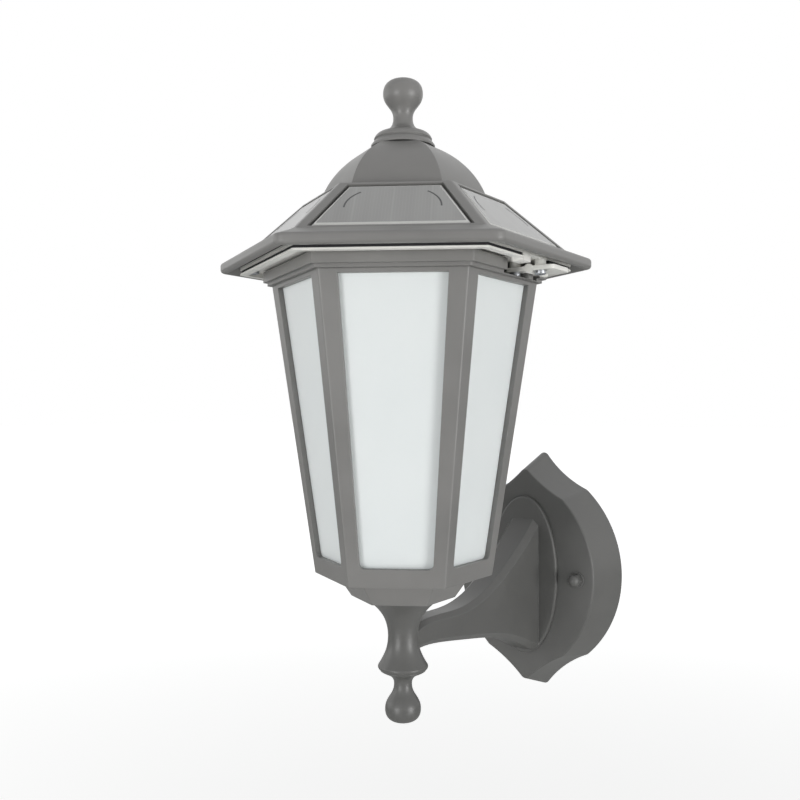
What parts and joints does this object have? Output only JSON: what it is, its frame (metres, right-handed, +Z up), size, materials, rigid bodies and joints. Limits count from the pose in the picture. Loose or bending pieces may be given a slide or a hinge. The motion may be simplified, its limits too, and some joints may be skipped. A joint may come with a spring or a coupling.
{
  "type": "solar wall light",
  "caption": "Six-sided solar wall lantern with frosted panes, a panelled opening roof and ball finial, on a flared arm and a pointed wall plate",
  "frame": {"origin": "centre of the wall plate's back plane, on the wall", "axes": "+X to the right seen from the room, +Y into the wall, +Z up"},
  "size_m": [0.1818, 0.284, 0.3819],
  "materials": {
    "bracket_paint": "satin grey paint on cast aluminium",
    "lantern_paint": "satin grey paint on cast aluminium",
    "black_rubber": "matt foam rubber",
    "zinc_steel": "zinc plated",
    "spring_steel": "bright rolled",
    "sheet_aluminium": "rolled sheet",
    "frosted_glass": "frosted",
    "solar_glass": "clear cover over grey cells",
    "white_plastic": "satin moulded",
    "white_board": "white solder mask",
    "led_lens": "clear lens over yellow phosphor",
    "green_board": "green solder mask",
    "black_plastic": "fine grain",
    "cell_sleeve": "shrink sleeve",
    "nickel_plate": "nickel plated"
  },
  "bodies": {
    "base": {"wall_plate": "bracket_paint", "plate_seal": "black_rubber", "wall_strap": "zinc_steel", "strap_studs": "zinc_steel", "cap_washers": "bracket_paint", "cap_nuts": "bracket_paint", "arm": "bracket_paint", "arm_screws": "zinc_steel", "bottom_finial": "bracket_paint", "tie_bolt": "zinc_steel", "tie_washer": "zinc_steel", "tie_nut": "zinc_steel", "base_cup": "lantern_paint", "lantern_frame": "lantern_paint", "lantern_floor": "sheet_aluminium", "floor_screws": "zinc_steel", "corner_strips": "sheet_aluminium", "top_collar": "lantern_paint", "roof_seal": "black_rubber", "hinge_pin": "zinc_steel", "catch_clip": "spring_steel", "catch_rivets": "zinc_steel", "pane_1": "frosted_glass", "pane_2": "frosted_glass", "pane_3": "frosted_glass", "pane_4": "frosted_glass", "pane_5": "frosted_glass", "pane_6": "frosted_glass"},
    "roof": {"roof_frame": "lantern_paint", "roof_crown": "lantern_paint", "crown_screws": "zinc_steel", "finial_collar": "lantern_paint", "top_finial": "lantern_paint", "finial_stud": "zinc_steel", "finial_washer": "zinc_steel", "finial_nut": "zinc_steel", "light_tray": "white_plastic", "tray_seal": "black_rubber", "tray_screws": "zinc_steel", "hinge_leaf": "white_plastic", "hinge_screws": "zinc_steel", "led_board": "white_board", "leds": "led_lens", "circuit_board": "green_board", "board_components": "black_plastic", "board_screws": "zinc_steel", "battery_box": "white_plastic", "battery_cell": "cell_sleeve", "battery_contacts": "nickel_plate", "battery_door": "white_plastic", "door_screw": "zinc_steel", "switch_body": "black_plastic", "solar_panel_1": "solar_glass", "solar_panel_2": "solar_glass", "solar_panel_3": "solar_glass", "solar_panel_4": "solar_glass", "solar_panel_5": "solar_glass", "solar_panel_6": "solar_glass"},
    "knob": {"switch_knob": "black_plastic"}
  },
  "joints": [
    {"name": "roof_hinge", "type": "hinge", "parent": "base", "child": "roof", "pos_m": [0.07242, -0.1595, 0.188], "axis": [0, 1, 0], "range_deg": [0, 100]},
    {"name": "switch_slide", "type": "slide", "parent": "roof", "child": "knob", "axis": [1, 0, 0], "range_m": [0, 0.003]}
  ]
}
